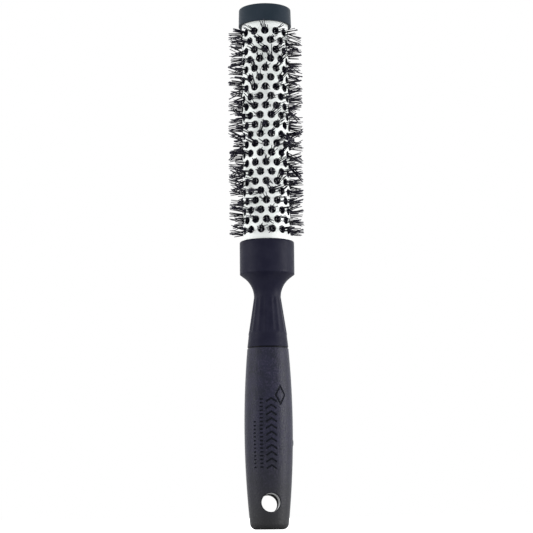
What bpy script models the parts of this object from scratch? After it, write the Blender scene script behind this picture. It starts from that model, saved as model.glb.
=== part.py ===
"""Round barrel brush: a vented tube full of nylon tufts on a moulded handle.

The brush stands upright on the end of its handle. The origin is the middle of
that end, +Z runs along the brush's axis to the tip of the end cap, and the
bore of the hang hole lies along Y. All lengths are metres.
"""
from math import asin, atan2, cos, degrees, hypot, pi, radians, sin

import bmesh
import bpy
from mathutils import Matrix

# Whole brush.
LENGTH = 0.250
GAP = 0.0003                      # clearance between pieces that touch
HIDDEN_SIDES = 20                 # sides of the core, which is never seen

# Barrel tube, and the staggered rings of holes through it.
TUBE_RADIUS = 0.0112
TUBE_WALL = 0.0008
RING_COUNT = 22
HOLES_PER_RING = 13
COLUMN_COUNT = 2 * HOLES_PER_RING
RING_PITCH = 0.00459
LOWEST_RING_Z = 0.14046
HOLE_RADIUS = 0.00178
PATTERN_TURN = radians(-95.0)     # direction of the first column of holes

# Bristle rows: a wire inside the tube, with one tuft through each hole.
WIRE_THICKNESS = 0.0007
BRISTLE_RADIUS = 0.0175
TUFT_ROOT_LENGTH = 0.0014
TUFT_TIP_WIDTH = 0.0034
TUFT_TIP_LENGTH = 0.0036

# End cap.
CAP_RADIUS = 0.01257
CAP_RIM_RADIUS = 0.01276
CAP_HEIGHT = 0.0075
CAP_TOP_WALL = 0.0020
CAP_EDGE_RADIUS = 0.0006
CAP_PLUG_BORE = 0.0075
CAP_PLUG_DEPTH = 0.0085
CAP_SHOULDER_DEPTH = 0.0050       # down to the shoulder that stops the wires

# Collar and neck: one moulding that holds the tube and grows out of the grip.
COLLAR_RADIUS = 0.0130
COLLAR_TOP_Z = 0.1357
COLLAR_BOTTOM_Z = 0.1198
COLLAR_EDGE_RADIUS = 0.0008
WAIST_RADIUS = 0.00637
WAIST_Z = 0.1093
WAIST_CURVE_RADIUS = 0.0117
FLUTE_COUNT = 16
FLUTE_DEPTH = 0.00035
FLUTE_BOTTOM_Z = 0.0914
FLUTE_END_RADIUS = 0.00912
FLUTE_STEPS = 5
BAND_TOP_RADIUS = 0.00900
NECK_BOTTOM_RADIUS = 0.00968
SEAM_Z = 0.0848
TUBE_SEAT_Z = 0.1250

# Grip: a barrel-shaped sleeve, fullest at the middle of its length.
GRIP_RADIUS = 0.01128
GRIP_FULLEST_Z = 0.0470
GRIP_CURVE = 0.840                # the sleeve narrows by distance squared / this
GRIP_EDGE_RADIUS = 0.0004
BUTT_EDGE_RADIUS = 0.0025
GRIP_STEPS = 12
GRIP_POCKET_Z = 0.0190
HANG_HOLE_RADIUS = 0.0046
HANG_HOLE_Z = 0.0122
HANG_HOLE_SIDES = 24

# Core: the stiff rod inside the handle, with the spigot that the tube fits on.
CORE_RADIUS = 0.0050
CORE_WAIST_RADIUS = 0.0040
CORE_TAPER_Z = (0.0870, 0.1040)
CORE_FLARE_Z = 0.1175
SPIGOT_SHOULDER_Z = 0.1330
SPIGOT_TOP_Z = 0.1370
SPIGOT_RECESS_RADIUS = 0.0070
SPIGOT_RECESS_Z = 0.1260

# Sizes that follow from the ones above.
ROUND_SIDES = 2 * FLUTE_COUNT     # a side for each ridge and each groove
TUBE_BORE = TUBE_RADIUS - TUBE_WALL
TUBE_BOTTOM_Z = TUBE_SEAT_Z + GAP
TUBE_TOP_Z = LENGTH - CAP_TOP_WALL - GAP
SOCKET_RADIUS = TUBE_RADIUS + GAP
SPIGOT_RADIUS = TUBE_BORE - GAP
WIRE_OUTER_RADIUS = TUBE_BORE - GAP
WIRE_INNER_RADIUS = WIRE_OUTER_RADIUS - WIRE_THICKNESS
WIRE_CLEAR_RADIUS = WIRE_INNER_RADIUS - GAP
CAP_SHOULDER_Z = LENGTH - CAP_SHOULDER_DEPTH
WIRE_BOTTOM_Z = SPIGOT_SHOULDER_Z + GAP
WIRE_TOP_Z = CAP_SHOULDER_Z - GAP
COLUMN_ANGLE = 2.0 * pi / COLUMN_COUNT


def clear_scene():
    for item in list(bpy.data.objects):
        bpy.data.objects.remove(item, do_unlink=True)


def material(name, colour, roughness, metallic=0.0):
    """A Principled material with the given linear colour."""
    surface = bpy.data.materials.new(name)
    surface.use_nodes = True
    shader = surface.node_tree.nodes["Principled BSDF"]
    shader.inputs["Base Color"].default_value = (*colour, 1.0)
    shader.inputs["Roughness"].default_value = roughness
    shader.inputs["Metallic"].default_value = metallic
    surface.diffuse_color = (*colour, 1.0)
    return surface


def add_object(name, bm, surface, smooth=True):
    """Turn a bmesh into an object, shaded smooth except across its sharp edges."""
    mesh = bpy.data.meshes.new(name)
    bmesh.ops.recalc_face_normals(bm, faces=bm.faces)
    bm.to_mesh(mesh)
    bm.free()
    if smooth:
        mesh.shade_smooth()
        mesh.set_sharp_from_angle(angle=radians(35.0))
    mesh.materials.append(surface)
    item = bpy.data.objects.new(name, mesh)
    bpy.context.scene.collection.objects.link(item)
    return item


def arc(centre, radius, start, end, steps):
    """Points (radius, height) along an arc in a turned profile; angles in degrees."""
    points = []
    for step in range(steps + 1):
        angle = radians(start + (end - start) * step / steps)
        points.append((centre[0] + radius * cos(angle), centre[1] + radius * sin(angle)))
    return points


def turned(profile, sides):
    """A closed profile of (radius, height) points, turned about the Z axis."""
    bm = bmesh.new()
    corners = [bm.verts.new((radius, 0.0, height)) for radius, height in profile]
    edges = [bm.edges.new((corners[i - 1], corners[i])) for i in range(1, len(corners))]
    if profile[0][0] > 0.0 or profile[-1][0] > 0.0:
        edges.append(bm.edges.new((corners[-1], corners[0])))
    bmesh.ops.spin(bm, geom=corners + edges, cent=(0, 0, 0), axis=(0, 0, 1),
                   angle=2.0 * pi, steps=sides, use_merge=True)
    bmesh.ops.remove_doubles(bm, verts=bm.verts, dist=0.000001)
    return bm


def on_tube(bm, radius, angle, height):
    return bm.verts.new((radius * cos(angle), radius * sin(angle), height))


def tube_skin(bm, radius):
    """One wall surface of the tube, open at its holes; returns its rims.

    Each hole sits in a cell one ring high and two columns wide. The cells of
    the next ring are shifted by one column, so a cell meets its neighbours at
    six corners, and a six-sided hole joins on to them with six faces.
    """
    heights = [TUBE_BOTTOM_Z]
    heights += [LOWEST_RING_Z + (line - 0.5) * RING_PITCH for line in range(RING_COUNT + 1)]
    heights += [TUBE_TOP_Z]
    grid = []
    for height in heights:
        angles = [PATTERN_TURN + column * COLUMN_ANGLE for column in range(COLUMN_COUNT)]
        grid.append([on_tube(bm, radius, angle, height) for angle in angles])
    for low, high in ((grid[0], grid[1]), (grid[-2], grid[-1])):
        for column in range(COLUMN_COUNT):
            bm.faces.new((low[column - 1], low[column], high[column], high[column - 1]))

    holes = []
    for ring in range(RING_COUNT):
        low, high = grid[ring + 1], grid[ring + 2]
        middle_z = LOWEST_RING_Z + ring * RING_PITCH
        for column in range((ring + 1) % 2, COLUMN_COUNT, 2):
            after = (column + 1) % COLUMN_COUNT
            cell = [low[column], low[after], high[after],
                    high[column], high[column - 1], low[column - 1]]
            hole = []
            for corner in range(6):
                turn = -pi / 2.0 + corner * pi / 3.0
                across = HOLE_RADIUS * cos(turn) / TUBE_RADIUS
                angle = PATTERN_TURN + column * COLUMN_ANGLE + across
                hole.append(on_tube(bm, radius, angle, middle_z + HOLE_RADIUS * sin(turn)))
            for corner in range(6):
                bm.faces.new((cell[corner - 1], cell[corner], hole[corner], hole[corner - 1]))
            holes.append(hole)
    return grid[0], grid[-1], holes


def bridge(bm, first, second):
    """Join two loops that have the same number of corners."""
    for corner in range(len(first)):
        bm.faces.new((first[corner - 1], first[corner], second[corner], second[corner - 1]))


def make_tube(surface):
    bm = bmesh.new()
    outer_bottom, outer_top, outer_holes = tube_skin(bm, TUBE_RADIUS)
    inner_bottom, inner_top, inner_holes = tube_skin(bm, TUBE_BORE)
    bridge(bm, outer_bottom, inner_bottom)
    bridge(bm, outer_top, inner_top)
    for outer, inner in zip(outer_holes, inner_holes):
        bridge(bm, outer, inner)
    return add_object("barrel_tube", bm, surface)


def make_bristle_row(column, surface):
    """A wire along the inside of the tube, with a tuft through each hole of a column.

    It is built pointing along +X, section by section up the wire, and then
    turned to its column.
    """
    bm = bmesh.new()
    rings = [ring for ring in range(RING_COUNT) if (ring + 1) % 2 == column % 2]
    middles = [LOWEST_RING_Z + ring * RING_PITCH for ring in rings]
    heights = [WIRE_BOTTOM_Z]
    for middle in middles:
        heights += [middle - TUFT_ROOT_LENGTH / 2.0, middle + TUFT_ROOT_LENGTH / 2.0]
    heights.append(WIRE_TOP_Z)

    half_wire = WIRE_THICKNESS / 2.0
    outline = ((WIRE_OUTER_RADIUS, -half_wire), (WIRE_OUTER_RADIUS, half_wire),
               (WIRE_INNER_RADIUS, half_wire), (WIRE_INNER_RADIUS, -half_wire))
    sections = [[bm.verts.new((x, y, height)) for x, y in outline] for height in heights]
    bm.faces.new(sections[0])
    bm.faces.new(sections[-1])
    for step in range(1, len(sections)):
        low, high = sections[step - 1], sections[step]
        for side in range(1, 4):
            after = (side + 1) % 4
            bm.faces.new((low[side], low[after], high[after], high[side]))
        if step % 2 == 1:
            bm.faces.new((low[0], low[1], high[1], high[0]))
            continue
        middle = middles[step // 2 - 1]
        root = [low[0], low[1], high[1], high[0]]
        tip = []
        for side_y, side_z in ((-1, -1), (1, -1), (1, 1), (-1, 1)):
            tip.append(bm.verts.new((BRISTLE_RADIUS, side_y * TUFT_TIP_WIDTH / 2.0,
                                     middle + side_z * TUFT_TIP_LENGTH / 2.0)))
        bridge(bm, root, tip)
        bm.faces.new(tip)
    bmesh.ops.rotate(bm, verts=bm.verts, cent=(0, 0, 0),
                     matrix=Matrix.Rotation(PATTERN_TURN + column * COLUMN_ANGLE, 3, "Z"))
    return add_object(f"bristle_row_{column + 1:02d}", bm, surface, smooth=False)


def make_cap(surface):
    """The cap sleeves over the tube, and its hollow plug stops the wires."""
    seat_z = LENGTH - CAP_TOP_WALL
    edge = (CAP_RADIUS - CAP_EDGE_RADIUS, LENGTH - CAP_EDGE_RADIUS)
    profile = [(0.0, LENGTH)]
    profile += arc(edge, CAP_EDGE_RADIUS, 90.0, 0.0, 3)
    profile += [(CAP_RIM_RADIUS, LENGTH - CAP_HEIGHT), (SOCKET_RADIUS, LENGTH - CAP_HEIGHT),
                (SOCKET_RADIUS, seat_z), (SPIGOT_RADIUS, seat_z),
                (SPIGOT_RADIUS, CAP_SHOULDER_Z), (WIRE_CLEAR_RADIUS, CAP_SHOULDER_Z),
                (WIRE_CLEAR_RADIUS, LENGTH - CAP_PLUG_DEPTH),
                (CAP_PLUG_BORE, LENGTH - CAP_PLUG_DEPTH),
                (CAP_PLUG_BORE, seat_z), (0.0, seat_z)]
    return add_object("end_cap", turned(profile, ROUND_SIDES), surface)


def cut_flutes(bm):
    """Press shallow lengthwise grooves into the lower neck, fading out at both ends."""
    side_angle = 2.0 * pi / ROUND_SIDES
    for vert in bm.verts:
        radius = hypot(vert.co.x, vert.co.y)
        along = (WAIST_Z - vert.co.z) / (WAIST_Z - FLUTE_BOTTOM_Z)
        side = round(atan2(vert.co.y, vert.co.x) / side_angle)
        if radius < WAIST_RADIUS - GAP or not 0.0 < along < 1.0 or side % 2 == 0:
            continue
        fade = min(1.0, 6.0 * along * (1.0 - along))
        shrink = 1.0 - FLUTE_DEPTH * fade / radius
        vert.co.x *= shrink
        vert.co.y *= shrink


def make_neck(surface):
    top_edge = (COLLAR_RADIUS - COLLAR_EDGE_RADIUS, COLLAR_TOP_Z - COLLAR_EDGE_RADIUS)
    curve_centre = (WAIST_RADIUS + WAIST_CURVE_RADIUS, WAIST_Z)
    crease = 180.0 - degrees(asin((COLLAR_BOTTOM_Z - WAIST_Z) / WAIST_CURVE_RADIUS))
    flare_z = CORE_FLARE_Z - GAP / 2.0
    flare_rise = TUBE_BORE - CORE_WAIST_RADIUS - GAP
    profile = [(SOCKET_RADIUS, COLLAR_TOP_Z)]
    profile += arc(top_edge, COLLAR_EDGE_RADIUS, 90.0, 0.0, 3)
    profile += [(COLLAR_RADIUS, COLLAR_BOTTOM_Z)]
    profile += arc(curve_centre, WAIST_CURVE_RADIUS, crease, 180.0, 7)
    for step in range(1, FLUTE_STEPS + 1):
        share = step / FLUTE_STEPS
        profile.append((WAIST_RADIUS + (FLUTE_END_RADIUS - WAIST_RADIUS) * share,
                        WAIST_Z + (FLUTE_BOTTOM_Z - WAIST_Z) * share))
    profile += [(BAND_TOP_RADIUS, FLUTE_BOTTOM_Z - GAP),
                (NECK_BOTTOM_RADIUS, SEAM_Z + GAP),
                (CORE_RADIUS + GAP, SEAM_Z + GAP),
                (CORE_RADIUS + GAP, CORE_TAPER_Z[0]),
                (CORE_WAIST_RADIUS + GAP, CORE_TAPER_Z[1]),
                (CORE_WAIST_RADIUS + GAP, flare_z), (TUBE_BORE, flare_z + flare_rise),
                (TUBE_BORE, TUBE_SEAT_Z), (SOCKET_RADIUS, TUBE_SEAT_Z)]
    bm = turned(profile, ROUND_SIDES)
    cut_flutes(bm)
    return add_object("neck_collar", bm, surface)


def grip_radius(height):
    return GRIP_RADIUS - (height - GRIP_FULLEST_Z) ** 2 / GRIP_CURVE


def make_grip(surface):
    """The grip sleeve: solid round the hang hole, with a pocket for the core above it."""
    top_z = SEAM_Z - GAP
    top_edge = (grip_radius(top_z) - GRIP_EDGE_RADIUS, top_z - GRIP_EDGE_RADIUS)
    butt_edge = (grip_radius(BUTT_EDGE_RADIUS) - BUTT_EDGE_RADIUS, BUTT_EDGE_RADIUS)
    profile = [(CORE_RADIUS + GAP, top_z)]
    profile += arc(top_edge, GRIP_EDGE_RADIUS, 90.0, 0.0, 2)
    for step in range(1, GRIP_STEPS):
        height = top_edge[1] + (butt_edge[1] - top_edge[1]) * step / GRIP_STEPS
        profile.append((grip_radius(height), height))
    profile += arc(butt_edge, BUTT_EDGE_RADIUS, 0.0, -90.0, 4)
    profile += [(0.0, 0.0), (0.0, GRIP_POCKET_Z), (CORE_RADIUS + GAP, GRIP_POCKET_Z)]
    grip = add_object("grip_sleeve", turned(profile, ROUND_SIDES), surface)

    bm = bmesh.new()
    bmesh.ops.create_cone(bm, cap_ends=True, segments=HANG_HOLE_SIDES,
                          radius1=HANG_HOLE_RADIUS, radius2=HANG_HOLE_RADIUS,
                          depth=4.0 * GRIP_RADIUS)
    cutter = add_object("hang_hole_cutter", bm, surface)
    cutter.rotation_euler = (pi / 2.0, 0.0, 0.0)
    cutter.location = (0.0, 0.0, HANG_HOLE_Z)
    cutter.hide_render = True
    cutter.display_type = "WIRE"
    hole = grip.modifiers.new("hang_hole", "BOOLEAN")
    hole.operation = "DIFFERENCE"
    hole.object = cutter
    return grip


def make_core(surface):
    """A rod up the handle that flares into the spigot inside the tube."""
    flare_top_z = CORE_FLARE_Z + SPIGOT_RADIUS - CORE_WAIST_RADIUS
    profile = [(0.0, SPIGOT_RECESS_Z), (SPIGOT_RECESS_RADIUS, SPIGOT_RECESS_Z),
               (SPIGOT_RECESS_RADIUS, SPIGOT_TOP_Z), (WIRE_CLEAR_RADIUS, SPIGOT_TOP_Z),
               (WIRE_CLEAR_RADIUS, SPIGOT_SHOULDER_Z), (SPIGOT_RADIUS, SPIGOT_SHOULDER_Z),
               (SPIGOT_RADIUS, flare_top_z), (CORE_WAIST_RADIUS, CORE_FLARE_Z),
               (CORE_WAIST_RADIUS, CORE_TAPER_Z[1]), (CORE_RADIUS, CORE_TAPER_Z[0]),
               (CORE_RADIUS, GRIP_POCKET_Z + GAP), (0.0, GRIP_POCKET_Z + GAP)]
    return add_object("handle_core", turned(profile, HIDDEN_SIDES), surface)


def main():
    clear_scene()
    coating = material("ceramic_coating", (0.62, 0.66, 0.62), 0.32)
    nylon = material("black_nylon", (0.006, 0.006, 0.008), 0.38)
    cap_plastic = material("cap_plastic", (0.034, 0.040, 0.052), 0.50)
    neck_plastic = material("neck_plastic", (0.022, 0.022, 0.034), 0.48)
    grip_rubber = material("grip_rubber", (0.032, 0.034, 0.046), 0.60)
    core_plastic = material("core_plastic", (0.020, 0.020, 0.024), 0.45)

    make_tube(coating)
    for column in range(COLUMN_COUNT):
        make_bristle_row(column, nylon)
    make_cap(cap_plastic)
    make_neck(neck_plastic)
    make_grip(grip_rubber)
    make_core(core_plastic)


main()
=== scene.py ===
"""The looks of the round barrel brush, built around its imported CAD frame. Metres, +Z up."""
import random
from math import atan2, cos, hypot, pi, radians, sin, sqrt

import bpy
from mathutils import Matrix, Vector


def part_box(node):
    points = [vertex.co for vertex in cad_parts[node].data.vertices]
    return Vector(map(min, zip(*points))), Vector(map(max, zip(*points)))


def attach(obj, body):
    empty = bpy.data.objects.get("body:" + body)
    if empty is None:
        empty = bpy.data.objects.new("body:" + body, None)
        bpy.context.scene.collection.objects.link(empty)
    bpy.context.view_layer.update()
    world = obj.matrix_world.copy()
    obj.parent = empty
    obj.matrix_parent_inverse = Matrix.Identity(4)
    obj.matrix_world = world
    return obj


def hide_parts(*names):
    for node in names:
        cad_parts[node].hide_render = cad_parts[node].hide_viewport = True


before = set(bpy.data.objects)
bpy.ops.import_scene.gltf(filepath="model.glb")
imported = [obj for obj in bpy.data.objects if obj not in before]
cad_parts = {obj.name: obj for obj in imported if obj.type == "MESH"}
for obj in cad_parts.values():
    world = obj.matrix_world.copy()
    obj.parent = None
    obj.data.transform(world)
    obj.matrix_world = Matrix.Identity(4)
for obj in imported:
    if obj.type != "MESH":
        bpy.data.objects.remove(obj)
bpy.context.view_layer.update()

MM = 0.001

# Heights of the pieces, from the frame.
TUBE_BOTTOM_Z, TUBE_TOP_Z = (corner.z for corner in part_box("barrel_tube"))
CAP_BOTTOM_Z, CAP_TOP_Z = (corner.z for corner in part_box("end_cap"))
NECK_BOTTOM_Z, NECK_TOP_Z = (corner.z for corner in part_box("neck_collar"))
GRIP_BOTTOM_Z, GRIP_TOP_Z = (corner.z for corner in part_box("grip_sleeve"))
WIRE_BOTTOM_Z, WIRE_TOP_Z = (corner.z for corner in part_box("bristle_row_01"))

# Barrel tube and its holes.
TUBE_RADIUS = 11.2 * MM
TUBE_WALL = 0.8 * MM
TUBE_BORE = TUBE_RADIUS - TUBE_WALL
RING_COUNT = 22
COLUMN_COUNT = 26
COLUMN_ANGLE = 2.0 * pi / COLUMN_COUNT
RING_PITCH = 4.59 * MM
LOWEST_RING_Z = 140.46 * MM
HOLE_RADIUS = 1.84 * MM
HOLE_EDGE_RADIUS = 0.10 * MM
PATTERN_TURN = radians(-95.0)
STEPS_ACROSS_COLUMN = 4
STEPS_UP_RING = 4
PLAIN_STEPS = 4                   # rows of faces between the holes and each end

# Bristles.
WIRE_RADIUS = 0.35 * MM
WIRE_CENTRE = 9.75 * MM
BRISTLE_REACH = 17.5 * MM
FILAMENT_RADIUS = 0.19 * MM
LONG_FOLDS = 4                    # filaments are folded over the wire, so each has two ends
SHORT_FOLDS = 5                   # an undercoat, cut off near the mouth of the hole
THIN_TUFT_SHARE = 0.45            # of the tufts, that have one long filament fewer
BROKEN_SHARE = 0.12               # of the long ends, that have worn off short
BROKEN_LOSS = (1.5 * MM, 4.5 * MM)
UNDERCOAT_SPAN = 0.7 * MM         # short ends stop within this of the tube's skin
UNRULY_SHARE = 0.5                # of the tufts, that lean more than the others
UNRULY_LEAN = 0.32                # spread of their slope
TIDY_LEAN = 0.12                  # spread of the slope of the other tufts
SLOPE_SCATTER = 0.040             # spread of the slopes within a tuft
BEND_SCATTER = 0.045              # spread of the bend in a bristle, as a slope
FAN_ACROSS = 0.22 / MM            # slope gained per metre off the tuft's middle, round the brush
FAN_ALONG = 0.03 / MM             # the same, up the brush
TIP_MEAN = 0.15 * MM              # how far tips end past the brush's radius, on average
TIP_SCATTER = 0.5 * MM
TIP_LIMIT = 0.6 * MM
LONG_SPREAD = 0.50 * MM           # how far the two ends of a fold part in the hole
SHORT_SPREAD = 1.2 * MM
MOUTH_SHARE = 0.75                # of the hole's free radius, that the long ends keep to
PACKING = 0.8                     # how far a tuft closes up between the wire and the hole
ALONG_SCATTER = 0.15 * MM
LOOP_HALF_WIDTHS = (0.8 * MM, 1.5 * MM)
LOOP_SLACK = 0.25 * MM            # how far a loop may hang clear of its wire
TIP_TAPER = 0.6                   # a tip's radius, as a share of its filament's
FILAMENT_SIDES = 5
WIRE_SIDES = 10
FIRST_SEED = 7100

# End cap.
CAP_SIDES = 160
CAP_TOP_RADIUS = 12.57 * MM
CAP_RIM_RADIUS = 12.76 * MM
CAP_TOP_EDGE = 0.6 * MM
CAP_RIM_EDGE = 0.15 * MM
CAP_SEAT_Z = CAP_TOP_Z - 2.0 * MM
PLUG_STEP_Z = CAP_TOP_Z - 5.0 * MM
PLUG_END_Z = CAP_TOP_Z - 8.5 * MM
PLUG_RADIUS = 10.1 * MM
PLUG_RELIEF_RADIUS = 9.1 * MM
PLUG_BORE = 7.5 * MM

# The cap's skirt and the collar's socket, which both fit over the tube.
SOCKET_RADIUS = 11.5 * MM

# Collar and neck.
COLLAR_RADIUS = 13.0 * MM
COLLAR_BOTTOM_Z = 119.8 * MM
COLLAR_TOP_EDGE = 0.8 * MM
COLLAR_FOOT_EDGE = 0.25 * MM
SOCKET_MOUTH_EDGE = 0.2 * MM
WAIST_RADIUS = 6.37 * MM
WAIST_Z = 109.05 * MM
WAIST_CURVE_RADIUS = 11.7 * MM
WAIST_CURVE_START = 128.0         # degrees; above it the collar's underside is a cone
FLUTE_COUNT = 16
FLUTE_DEPTH = 0.25 * MM
FLUTE_SIDES = 14                  # faces across one flute and its ridge
FLUTE_HALF_SHARE = 0.44           # half a flute's width, as a share of its pitch
FLUTE_TAPER = 0.30                # below 1, so a flute's top is drawn out longer than its foot
FLUTE_ROUNDNESS = 1.3
FLUTE_BOTTOM_Z = 91.4 * MM
FLUTE_FOOT_GAP = 0.3 * MM
FLUTE_TOP_Z = WAIST_Z - 3.0 * MM  # where a flute starts to fade out
FLUTE_END_RADIUS = 9.12 * MM
BAND_TOP_RADIUS = 9.0 * MM        # the plain band starts in a small step below the flutes
BAND_STEP = 0.15 * MM
BAND_FOOT_EDGE = 0.1 * MM
NECK_BOTTOM_RADIUS = 9.68 * MM
SEAM_LIP_RADIUS = 9.38 * MM       # the foot of the groove over the grip, painted dark as painted shade
SEAM_GAP = 0.06 * MM

# The neck's inside, which holds the core below and the tube above.
CORE_HOLE_RADIUS = 5.3 * MM
CORE_HOLE_TOP_Z = 87.0 * MM
CORE_WAIST_RADIUS = 4.3 * MM
CORE_WAIST_BOTTOM_Z = 104.0 * MM
CORE_WAIST_TOP_Z = 117.35 * MM
CORE_FLARE_TOP_Z = 123.45 * MM
SOCKET_SEAT_Z = 125.0 * MM

# Grip.
FRONT, BACK = -pi / 2.0, pi / 2.0
GRIP_RADIUS = 11.38 * MM
GRIP_FULLEST_Z = 47.0 * MM
GRIP_CURVE = 0.860                # metres; off the fullest height the radius drops by height**2 / this
BUTT_EDGE_RADIUS = 2.5 * MM
GRIP_TOP_EDGE = 0.2 * MM
HANG_HOLE_RADIUS = 4.33 * MM
HANG_HOLE_FRONT_Z = 12.45 * MM    # the hole runs slightly downhill to the back
HANG_HOLE_BACK_Z = 11.5 * MM
HANG_HOLE_EDGE = 0.45 * MM
BORE_LIT_SHARES = (0.08, 0.22, 0.38)    # rings along the bore, from its front, in smooth rubber painted lighter as painted light
# The rest of the bore is painted nearly black as painted shade.
BORE_DARK_SHARES = (0.40, 0.60, 0.80, 0.95)
POCKET_BOTTOM_Z = 19.0 * MM
PIP_ANGLE = radians(-5.0)
PIP_Z = 40.0 * MM
PIP_HEIGHT = 0.28 * MM
PIP_HALF_SIZE = (0.9 * MM, 1.8 * MM)

# The net of faces on the grip: fine round the marks and the hang hole.
FINE_TURN_STEP = 0.20 * MM / GRIP_RADIUS
PLAIN_TURN_STEP = 0.60 * MM / GRIP_RADIUS
FINE_ROW_STEP = 0.20 * MM
WINDOW_ROW_STEP = 0.5 * MM
PLAIN_ROW_STEP = 0.6 * MM
WINDOW_TURN = radians(41.0)       # half the window cut in the net round the hang hole
WINDOW_LOW_Z = 5.7 * MM
WINDOW_HIGH_Z = 18.7 * MM
FINE_TURN = radians(50.0)         # half the fine part of the net, at the front and the back
FINE_LOW_Z = 28.0 * MM
FINE_HIGH_Z = 66.0 * MM

# Marks pressed into the grip.
MARK_DEPTH = 0.40 * MM
MARK_SLOPE = 0.16 * MM
MARK_REACH = 5.0 * MM             # no stroke is longer than this
MARK_LOW_Z = 26.0 * MM
MARK_HIGH_Z = 67.0 * MM
CHEVRON_COUNT = 11
CHEVRON_PITCH = 3.1 * MM
CHEVRON_LOW_TIP = (0.3 * MM, 29.5 * MM)    # places are (round the sleeve from its front, height)
CHEVRON_ARM = (2.3 * MM, 1.5 * MM)
CHEVRON_HALF_WIDTH = 0.36 * MM
DOT_LOW_Z = 28.6 * MM
DOT_PITCH = 1.75 * MM
DOT_COLUMNS = ((19, -4.4 * MM, 0.5 * MM, 0.30 * MM),    # count, place, half length, half width
               (13, -7.9 * MM, 0.3 * MM, 0.28 * MM))
DIAMOND_MIDDLE = (5.0 * MM, 62.0 * MM)
DIAMOND_HALF_SIZE = (2.5 * MM, 4.2 * MM)
DIAMOND_HALF_WIDTH = 0.34 * MM

SHARP_ANGLE = radians(40.0)

# Camera, floor, room and lamps.
CAMERA_AZIMUTH = radians(-5.0)
CAMERA_YAW = 0.000352941          # radians off the line from the camera to the brush's axis
CAMERA_PITCH = radians(8.368)
CAMERA_ROLL = radians(0.545)
CAMERA_DISTANCE = 0.8014
CAMERA_HEIGHT = 0.006
CAMERA_LENS = 114.821764          # mm, on a sensor 36 mm wide
FLOOR_HALF_SIZE = 6.0
ROOM_FRONT_STRENGTH = 1.15
ROOM_BACK_STRENGTH = 1.5
SOFTBOX_DISTANCE = 1.0
SOFTBOX_HEIGHT = 0.15
SOFTBOX_SPREAD = radians(40.0)


class Shape:
    """The points and faces of one mesh, with a 0 to 1 mark on each point."""

    def __init__(self):
        self.points = []
        self.marks = []
        self.faces = []
        self.slots = []

    def point(self, x, y, z, mark=0.0):
        self.points.append((x, y, z))
        self.marks.append(mark)
        return len(self.points) - 1

    def face(self, corners, slot=0):
        self.faces.append(tuple(corners))
        self.slots.append(slot)

    def bridge(self, first, second, slot=0):
        """Quads between two closed loops of the same length."""
        for i in range(len(first)):
            self.face((first[i - 1], first[i], second[i], second[i - 1]), slot)

    def build(self, name, materials):
        """Make the object, leaving out the points that no face uses."""
        used = sorted({corner for face in self.faces for corner in face})
        place = {old: new for new, old in enumerate(used)}
        faces = [[place[corner] for corner in face] for face in self.faces]
        mesh = bpy.data.meshes.new(name)
        mesh.from_pydata([self.points[i] for i in used], [], faces)
        for material in materials:
            mesh.materials.append(material)
        mesh.polygons.foreach_set("material_index", self.slots)
        mark = mesh.attributes.new("mark", "FLOAT", "POINT")
        mark.data.foreach_set("value", [self.marks[i] for i in used])
        mesh.shade_smooth()
        mesh.set_sharp_from_angle(angle=SHARP_ANGLE)
        mesh.validate()
        piece = bpy.data.objects.new(name, mesh)
        bpy.context.scene.collection.objects.link(piece)
        return piece


def hand_over(piece, slot, *nodes):
    """Fix a piece to the brush in place of CAD nodes."""
    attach(piece, "root")
    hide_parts(*nodes)


def arc(centre, radius, start, end, steps):
    """Points (radius, height) of an arc in a turned profile; angles in degrees."""
    turns = [radians(start + (end - start) * i / steps) for i in range(steps + 1)]
    return [(centre[0] + radius * cos(t), centre[1] + radius * sin(t)) for t in turns]


def straight(start, end, steps):
    """Points along a line, without its first one."""
    shares = [i / steps for i in range(1, steps + 1)]
    return [(start[0] + (end[0] - start[0]) * s, start[1] + (end[1] - start[1]) * s)
            for s in shares]


def lathe(shape, profile, sides, closed, slot=0):
    """Turn a profile about the Z axis. Points on the axis become the poles of fans."""
    loops = []
    for radius, height in profile:
        if radius == 0.0:
            loops.append([shape.point(0.0, 0.0, height)])
            continue
        turns = [2.0 * pi * i / sides for i in range(sides)]
        loops.append([shape.point(radius * cos(t), radius * sin(t), height) for t in turns])
    pairs = list(zip(loops[:-1], loops[1:]))
    if closed:
        pairs.append((loops[-1], loops[0]))
    for first, second in pairs:
        if len(first) == 1 and len(second) == 1:
            continue
        if len(first) == 1:
            for i in range(sides):
                shape.face((first[0], second[i], second[i - 1]), slot)
        elif len(second) == 1:
            for i in range(sides):
                shape.face((first[i - 1], first[i], second[0]), slot)
        else:
            shape.bridge(first, second, slot)
    return loops


# ---------------------------------------------------------------- materials

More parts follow.
